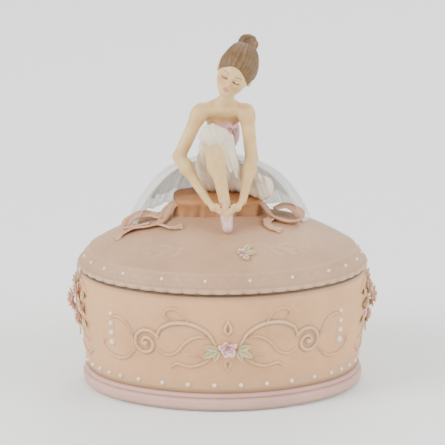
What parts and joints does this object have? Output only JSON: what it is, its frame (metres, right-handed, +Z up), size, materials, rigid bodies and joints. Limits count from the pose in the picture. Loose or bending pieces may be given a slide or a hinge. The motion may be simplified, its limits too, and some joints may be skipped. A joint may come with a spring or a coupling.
{
  "type": "music jewellery box",
  "caption": "Oval cast jewellery box with a hinged domed lid that carries a seated dancer in a tulle skirt, and a wind-up comb music movement under its floor.",
  "frame": {"origin": "on the table, under the middle of the oval box", "axes": "+Z up, front of the box towards -Y, hinge at +Y, the box's long axis along X"},
  "size_m": [0.14, 0.1143, 0.1586],
  "materials": {
    "cast_box": "satin, slightly pearly peach-beige cast resin",
    "cast_lid": "satin, slightly pearly rose-beige cast resin",
    "cast_plinth": "satin mauve-beige cast resin",
    "cast_rose": "satin pale pink paint on cast resin",
    "cast_leaf": "satin muted green-gold paint on cast resin",
    "pearl": "pearly cream paint on cast resin",
    "skin": "satin flesh paint on cast resin",
    "hair": "satin brown paint on cast resin",
    "dress": "satin blush paint on cast resin",
    "slipper": "satin pink paint on cast resin",
    "drape": "satin dusty rose paint on cast resin",
    "tulle": "sheer white net",
    "felt": "matte pink felt",
    "velvet": "soft pink flock",
    "mirror": "silvered glass",
    "gilt": "gilt trim",
    "brass": "satin brass",
    "steel": "satin steel",
    "spring_steel": "blued spring steel",
    "cover": "cream plastic",
    "plastic": "ivory plastic"
  },
  "bodies": {
    "box": {"plinth": "cast_plinth", "felt_ring": "felt", "bottom_cover": "cover", "cover_screws": "steel", "body_shell": "cast_box", "velvet_pad": "velvet", "front_rose": "cast_rose", "front_leaves": "cast_leaf", "end_bouquets": "cast_rose", "body_pearls": "pearl", "foot_pearls": "pearl", "hinge_leaf_box": "brass", "hinge_pin": "steel", "hinge_screws_box": "steel", "bedplate": "steel", "movement_screws": "steel", "spring_drum": "steel", "mainspring": "spring_steel", "cylinder_bracket": "steel", "end_bracket": "steel", "comb": "spring_steel", "comb_base": "steel", "comb_screws": "steel", "governor_frame": "steel", "rod_guide": "plastic"},
    "lid": {"hinge_leaf_lid": "brass", "hinge_screws_lid": "steel", "lid_shell": "cast_lid", "lid_mirror": "mirror", "mirror_bezel": "gilt", "lid_pearls": "pearl", "lid_rose": "cast_rose", "lid_leaves": "cast_leaf", "seat": "drape", "sash_left": "drape", "sash_right": "drape", "ballerina_body": "skin", "ballerina_hair": "hair", "ballerina_bodice": "dress", "ballerina_slippers": "slipper", "tulle_skirt": "tulle"},
    "winding": {"winding_arbor": "steel", "crown_wheel": "brass", "winding_key": "steel"},
    "cylinder": {"cylinder_shaft": "steel", "pinned_cylinder": "brass", "cylinder_pinion": "brass", "cylinder_wheel": "brass"},
    "governor": {"governor_wheel": "brass"},
    "brake": {"air_brake": "plastic"},
    "stop_plunger": {"stop_rod": "steel", "stop_arm": "steel", "stop_spring": "spring_steel"}
  },
  "joints": [
    {"name": "lid_hinge", "type": "hinge", "parent": "box", "child": "lid", "pos_m": [0, 0.0555, 0.0538], "axis": [-1, 0, 0], "range_deg": [0, 95]},
    {"name": "winding_turn", "type": "hinge", "parent": "box", "child": "winding", "pos_m": [0, 0, 0.012], "axis": [0, 0, 1], "continuous": true},
    {"name": "cylinder_turn", "type": "hinge", "parent": "box", "child": "cylinder", "pos_m": [0.02, 0, 0.02655], "axis": [1, 0, 0], "continuous": true},
    {"name": "governor_turn", "type": "hinge", "parent": "box", "child": "governor", "pos_m": [0.037, 0.00679, 0.02408], "axis": [1, 0, 0], "continuous": true},
    {"name": "brake_turn", "type": "hinge", "parent": "box", "child": "brake", "pos_m": [0.0384, 0.01204, 0.0241], "axis": [0, 0, 1], "continuous": true},
    {"name": "stop_rise", "type": "slide", "parent": "box", "child": "stop_plunger", "axis": [0, 0, 1], "range_m": [0, 0.003], "deforming": ["stop_spring"]}
  ],
  "couplings": [
    {"joint": "cylinder_turn", "follows": "winding_turn", "ratio": 3},
    {"joint": "governor_turn", "follows": "winding_turn", "ratio": -11.25},
    {"joint": "brake_turn", "follows": "winding_turn", "ratio": 225},
    {"joint": "stop_rise", "follows": "lid_hinge", "m_per_rad": 0.0018}
  ]
}
